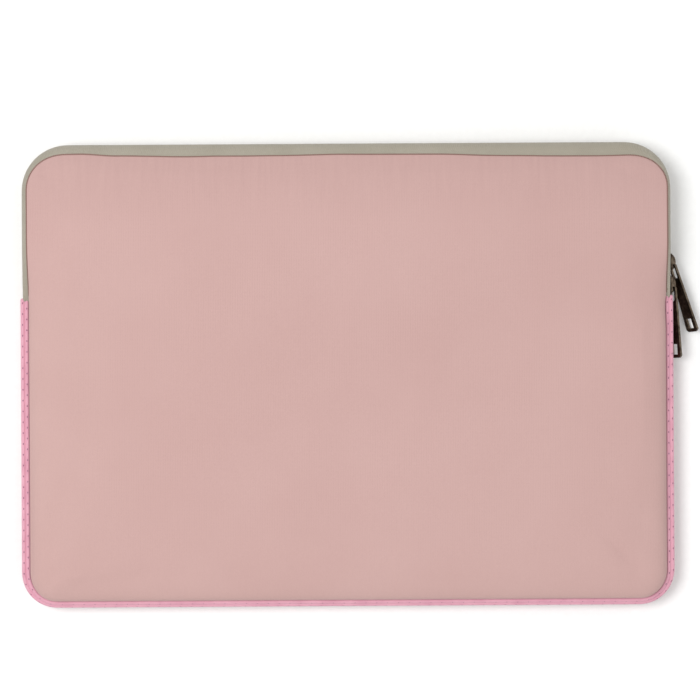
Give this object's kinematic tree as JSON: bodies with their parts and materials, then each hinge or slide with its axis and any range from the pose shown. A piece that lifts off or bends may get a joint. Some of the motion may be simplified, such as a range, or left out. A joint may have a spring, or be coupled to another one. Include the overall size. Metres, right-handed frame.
{
  "type": "laptop sleeve",
  "caption": "Slim padded laptop sleeve with a bound lower edge, a zip round its upper half and twin sliders with long flat metal pullers.",
  "frame": {"origin": "middle of the back panel's flat outer face, which the sleeve lies on", "axes": "+X along the width to the side where the sliders are parked, +Y to the zipped top edge, +Z out of the front panel"},
  "size_m": [0.3647, 0.248, 0.024],
  "materials": {
    "panel_fabric": "matt smooth knit over thin foam, dusty pink",
    "foam": "closed-cell foam",
    "lining_fabric": "short plush, warm grey",
    "binding_tape": "smooth pink binding with two stitch rows",
    "zip_tape": "woven olive-grey tape",
    "zip_coil": "nylon coil",
    "dark_metal": "dark antique plating, satin"
  },
  "bodies": {
    "sleeve": {"back_shell": "panel_fabric", "back_padding": "foam", "back_lining": "lining_fabric", "lower_front_shell": "panel_fabric", "lower_front_padding": "foam", "lower_front_lining": "lining_fabric", "edge_binding": "binding_tape", "inner_seam_tape": "lining_fabric", "back_zip_tape_top": "zip_tape", "back_zip_tape_right": "zip_tape", "back_zip_tape_left": "zip_tape", "back_zip_coil": "zip_coil", "front_zip_tape_right": "zip_tape", "front_zip_tape_left": "zip_tape", "front_zip_coil_right": "zip_coil", "front_zip_coil_left": "zip_coil"},
    "flap": {"upper_front_shell": "panel_fabric", "upper_front_padding": "foam", "upper_front_lining": "lining_fabric", "flap_zip_tape": "zip_tape", "flap_zip_coil": "zip_coil"},
    "lower_slider": {"lower_slider_body": "dark_metal", "lower_slider_crown": "dark_metal"},
    "lower_puller": {"lower_puller": "dark_metal"},
    "upper_slider": {"upper_slider_body": "dark_metal", "upper_slider_crown": "dark_metal"},
    "upper_puller": {"upper_puller": "dark_metal"}
  },
  "joints": [
    {"name": "flap_fold", "type": "hinge", "parent": "sleeve", "child": "flap", "pos_m": [0, 0.067, 0.024], "axis": [1, 0, 0], "range_deg": [0, 120]},
    {"name": "lower_slider_run", "type": "slide", "parent": "sleeve", "child": "lower_slider", "axis": [0, 1, 0], "range_m": [0, 0.012]},
    {"name": "upper_slider_run", "type": "slide", "parent": "lower_slider", "child": "upper_slider", "axis": [0, 1, 0], "range_m": [0, 0.02]},
    {"name": "lower_puller_swing", "type": "hinge", "parent": "lower_slider", "child": "lower_puller", "pos_m": [0.17548, 0.0456, 0.0089], "axis": [0.4226, 0, 0.9063], "range_deg": [0, 15]},
    {"name": "upper_puller_swing", "type": "hinge", "parent": "upper_slider", "child": "upper_puller", "pos_m": [0.17548, 0.0576, 0.0089], "axis": [0.4226, 0, 0.9063], "range_deg": [0, 110]}
  ]
}
